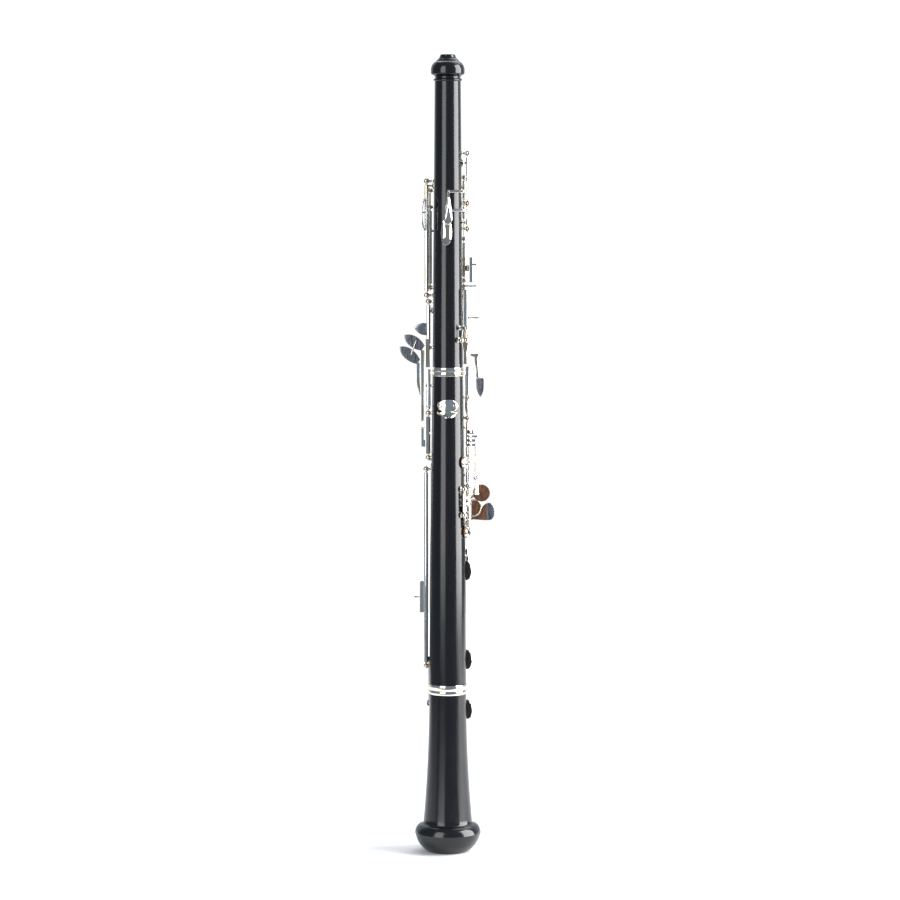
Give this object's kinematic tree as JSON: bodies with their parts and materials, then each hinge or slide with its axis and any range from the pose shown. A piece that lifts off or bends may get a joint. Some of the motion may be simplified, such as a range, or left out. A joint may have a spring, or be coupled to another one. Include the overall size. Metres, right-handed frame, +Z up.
{
  "type": "oboe",
  "caption": "Wooden conical-bore oboe standing on its flared bell, with metal rings, thumb rest and hinged keywork whose keys turn on steel rods; takes a reed in the top socket.",
  "frame": {"origin": "on the bore's axis, at the foot of the bell", "axes": "+Z up the bore from the bell to the reed socket, +Y towards the finger plates, +X towards the player's right hand side"},
  "size_m": [0.0763, 0.0538, 0.64],
  "materials": {
    "grenadilla": "oiled near-black hardwood with a soft gloss",
    "silver": "polished silver plate",
    "steel": "ground and polished steel",
    "cork": "greased natural cork",
    "brass": "drawn brass tube",
    "leather": "tan leather pad",
    "dark_pad": "dark leather pad"
  },
  "bodies": {
    "bell_section": {"bell": "grenadilla", "bell_socket_ring": "silver", "bell_key_rod": "steel"},
    "bottom_section": {"bottom_joint": "grenadilla", "bottom_joint_foot_ring": "silver", "bottom_joint_socket_ring": "silver", "bottom_tenon_cork": "cork", "thumb_rest": "silver", "thumb_rest_screw_left": "steel", "thumb_rest_screw_right": "steel", "lower_stack_rod": "steel", "e_flat_rod": "steel", "foot_rod": "steel", "left_lever_rod": "steel", "long_left_rod": "steel", "low_b_rod": "steel"},
    "top_section": {"top_joint": "grenadilla", "top_joint_ring": "silver", "top_tenon_cork": "cork", "reed_well_liner": "brass", "octave_rod": "steel", "upper_stack_rod": "steel", "side_octave_rod": "steel", "b_flat_rod": "steel", "g_sharp_rod": "steel", "trill_lever_pin": "steel"},
    "half_hole_key": {"half_hole_key": "silver"},
    "a_key": {"a_key": "silver"},
    "g_key": {"g_key": "silver"},
    "c_sharp_trill_key": {"c_sharp_trill_key": "silver"},
    "trill_lever": {"trill_lever": "silver"},
    "d_trill_key": {"d_trill_key": "silver"},
    "first_octave_key": {"first_octave_key": "silver"},
    "third_octave_key": {"third_octave_key": "silver"},
    "side_octave_key": {"side_octave_key": "silver"},
    "b_flat_key": {"b_flat_key": "silver"},
    "g_sharp_key": {"g_sharp_key": "silver"},
    "left_bridge_key": {"left_bridge_key": "silver"},
    "low_b_lever": {"low_b_lever": "silver"},
    "low_b_key": {"low_b_key": "silver", "low_b_pad": "dark_pad"},
    "low_b_flat_lever": {"low_b_flat_lever": "silver"},
    "low_b_flat_link": {"low_b_flat_link": "silver"},
    "bell_key": {"bell_key": "silver", "bell_key_pad": "dark_pad"},
    "f_sharp_key": {"f_sharp_key": "silver"},
    "right_bridge_key": {"right_bridge_key": "silver"},
    "fork_f_key": {"fork_f_key": "silver", "fork_f_pad": "leather"},
    "e_key": {"e_key": "silver"},
    "d_key": {"d_key": "silver"},
    "e_flat_key": {"e_flat_key": "silver", "e_flat_pad": "leather"},
    "low_c_touch": {"low_c_touch": "silver"},
    "low_c_key": {"low_c_key": "silver", "low_c_pad": "dark_pad"},
    "c_sharp_touch": {"c_sharp_touch": "silver"},
    "c_sharp_key": {"c_sharp_key": "silver"}
  },
  "joints": [
    {"name": "bottom_section_slide", "type": "slide", "parent": "bell_section", "child": "bottom_section", "axis": [0, 0, 1], "range_m": [0, 0.024]},
    {"name": "top_section_slide", "type": "slide", "parent": "bottom_section", "child": "top_section", "axis": [0, 0, 1], "range_m": [0, 0.024]},
    {"name": "half_hole_key_turn", "type": "hinge", "parent": "top_section", "child": "half_hole_key", "pos_m": [0.01331, 0.00615, 0.4775], "axis": [0, 0, 1], "range_deg": [0, 8], "stiffness_Nm_per_rad": 0.02, "springref_deg": -17.19},
    {"name": "a_key_turn", "type": "hinge", "parent": "top_section", "child": "a_key", "pos_m": [0.01331, 0.00615, 0.4495], "axis": [0, 0, 1], "range_deg": [0, 8], "stiffness_Nm_per_rad": 0.02, "springref_deg": -17.19},
    {"name": "g_key_turn", "type": "hinge", "parent": "top_section", "child": "g_key", "pos_m": [0.01331, 0.00615, 0.4305], "axis": [0, 0, 1], "range_deg": [0, 8], "stiffness_Nm_per_rad": 0.02, "springref_deg": -17.19},
    {"name": "c_sharp_trill_key_turn", "type": "hinge", "parent": "top_section", "child": "c_sharp_trill_key", "pos_m": [0.01331, 0.00615, 0.5355], "axis": [0, 0, 1], "range_deg": [-7, 0], "stiffness_Nm_per_rad": 0.02, "springref_deg": 17.19},
    {"name": "trill_lever_turn", "type": "hinge", "parent": "top_section", "child": "trill_lever", "pos_m": [0.01339, -0.00653, 0.4139], "axis": [0.4384, 0.8988, 0], "range_deg": [0, 3.5], "stiffness_Nm_per_rad": 0.02, "springref_deg": -17.19},
    {"name": "d_trill_key_turn", "type": "hinge", "parent": "top_section", "child": "d_trill_key", "pos_m": [0.01331, 0.00615, 0.516], "axis": [0, 0, 1], "range_deg": [-7, 0]},
    {"name": "first_octave_key_turn", "type": "hinge", "parent": "top_section", "child": "first_octave_key", "pos_m": [0.01615, -0.00153, 0.5323], "axis": [0, 0, 1], "range_deg": [-3.5, 0], "stiffness_Nm_per_rad": 0.02, "springref_deg": 17.19},
    {"name": "third_octave_key_turn", "type": "hinge", "parent": "top_section", "child": "third_octave_key", "pos_m": [0.01615, -0.00153, 0.5174], "axis": [0, 0, 1], "range_deg": [-3, 0], "stiffness_Nm_per_rad": 0.02, "springref_deg": 17.19},
    {"name": "side_octave_key_turn", "type": "hinge", "parent": "top_section", "child": "side_octave_key", "pos_m": [-0.0169, -0.001, 0.5185], "axis": [0, 0, 1], "range_deg": [0, 6], "stiffness_Nm_per_rad": 0.02, "springref_deg": -17.19},
    {"name": "b_flat_key_turn", "type": "hinge", "parent": "top_section", "child": "b_flat_key", "pos_m": [-0.01425, 0.00463, 0.5005], "axis": [0, 0, 1], "range_deg": [0, 7], "stiffness_Nm_per_rad": 0.02, "springref_deg": -17.19},
    {"name": "g_sharp_key_turn", "type": "hinge", "parent": "top_section", "child": "g_sharp_key", "pos_m": [-0.01542, 0.00272, 0.4285], "axis": [0, 0, 1], "range_deg": [0, 6], "stiffness_Nm_per_rad": 0.02, "springref_deg": -17.19},
    {"name": "left_bridge_key_turn", "type": "hinge", "parent": "bottom_section", "child": "left_bridge_key", "pos_m": [-0.0156, 0.00247, 0.3685], "axis": [0, 0, 1], "range_deg": [0, 6]},
    {"name": "low_b_lever_turn", "type": "hinge", "parent": "bottom_section", "child": "low_b_lever", "pos_m": [-0.0156, 0.00247, 0.3455], "axis": [0, 0, 1], "range_deg": [0, 6], "stiffness_Nm_per_rad": 0.02, "springref_deg": -17.19},
    {"name": "low_b_key_turn", "type": "hinge", "parent": "bottom_section", "child": "low_b_key", "pos_m": [-0.01225, 0.01268, 0.1546], "axis": [0, 0, 1], "range_deg": [-6, 0]},
    {"name": "low_b_flat_lever_turn", "type": "hinge", "parent": "bottom_section", "child": "low_b_flat_lever", "pos_m": [-0.0156, 0.00247, 0.3305], "axis": [0, 0, 1], "range_deg": [0, 6], "stiffness_Nm_per_rad": 0.02, "springref_deg": -17.19},
    {"name": "low_b_flat_link_turn", "type": "hinge", "parent": "bottom_section", "child": "low_b_flat_link", "pos_m": [-0.01743, 0.00107, 0.2058], "axis": [0, 0, 1], "range_deg": [0, 6]},
    {"name": "bell_key_turn", "type": "hinge", "parent": "bell_section", "child": "bell_key", "pos_m": [-0.01269, 0.01314, 0.1139], "axis": [0, 0, 1], "range_deg": [-6, 0]},
    {"name": "f_sharp_key_turn", "type": "hinge", "parent": "bottom_section", "child": "f_sharp_key", "pos_m": [0.01623, 0.00257, 0.3425], "axis": [0, 0, 1], "range_deg": [0, 6.8], "stiffness_Nm_per_rad": 0.02, "springref_deg": -17.19},
    {"name": "right_bridge_key_turn", "type": "hinge", "parent": "bottom_section", "child": "right_bridge_key", "pos_m": [0.01623, 0.00257, 0.3595], "axis": [0, 0, 1], "range_deg": [0, 6.8]},
    {"name": "fork_f_key_turn", "type": "hinge", "parent": "bottom_section", "child": "fork_f_key", "pos_m": [0.01623, 0.00257, 0.316], "axis": [0, 0, 1], "range_deg": [0, 7], "stiffness_Nm_per_rad": 0.02, "springref_deg": -17.19},
    {"name": "e_key_turn", "type": "hinge", "parent": "bottom_section", "child": "e_key", "pos_m": [0.01623, 0.00257, 0.304], "axis": [0, 0, 1], "range_deg": [0, 6.8], "stiffness_Nm_per_rad": 0.02, "springref_deg": -17.19},
    {"name": "d_key_turn", "type": "hinge", "parent": "bottom_section", "child": "d_key", "pos_m": [0.01623, 0.00257, 0.288], "axis": [0, 0, 1], "range_deg": [0, 6.8], "stiffness_Nm_per_rad": 0.02, "springref_deg": -17.19},
    {"name": "e_flat_key_turn", "type": "hinge", "parent": "bottom_section", "child": "e_flat_key", "pos_m": [0.01312, -0.00989, 0.2785], "axis": [0, 0, 1], "range_deg": [-6, 0], "stiffness_Nm_per_rad": 0.02, "springref_deg": 17.19},
    {"name": "low_c_touch_turn", "type": "hinge", "parent": "bottom_section", "child": "low_c_touch", "pos_m": [0.01312, -0.00989, 0.289], "axis": [0, 0, 1], "range_deg": [-6, 0], "stiffness_Nm_per_rad": 0.02, "springref_deg": 17.19},
    {"name": "low_c_key_turn", "type": "hinge", "parent": "bottom_section", "child": "low_c_key", "pos_m": [0.00437, 0.01632, 0.2271], "axis": [0, 0, 1], "range_deg": [-9, 0]},
    {"name": "c_sharp_touch_turn", "type": "hinge", "parent": "bottom_section", "child": "c_sharp_touch", "pos_m": [0.01312, -0.00989, 0.2838], "axis": [0, 0, 1], "range_deg": [-6, 0], "stiffness_Nm_per_rad": 0.02, "springref_deg": 17.19},
    {"name": "c_sharp_key_turn", "type": "hinge", "parent": "bottom_section", "child": "c_sharp_key", "pos_m": [0.00437, 0.01632, 0.2528], "axis": [0, 0, 1], "range_deg": [-6.6, 0]}
  ],
  "couplings": [
    {"joint": "d_trill_key_turn", "follows": "trill_lever_turn", "ratio": -2},
    {"joint": "left_bridge_key_turn", "follows": "g_sharp_key_turn", "ratio": 1},
    {"joint": "low_b_key_turn", "follows": "low_b_lever_turn", "ratio": -1},
    {"joint": "low_b_flat_link_turn", "follows": "low_b_flat_lever_turn", "ratio": 1},
    {"joint": "bell_key_turn", "follows": "low_b_flat_lever_turn", "ratio": -1},
    {"joint": "right_bridge_key_turn", "follows": "f_sharp_key_turn", "ratio": 1},
    {"joint": "low_c_key_turn", "follows": "low_c_touch_turn", "ratio": 1.5},
    {"joint": "c_sharp_key_turn", "follows": "c_sharp_touch_turn", "ratio": 1.1}
  ]
}
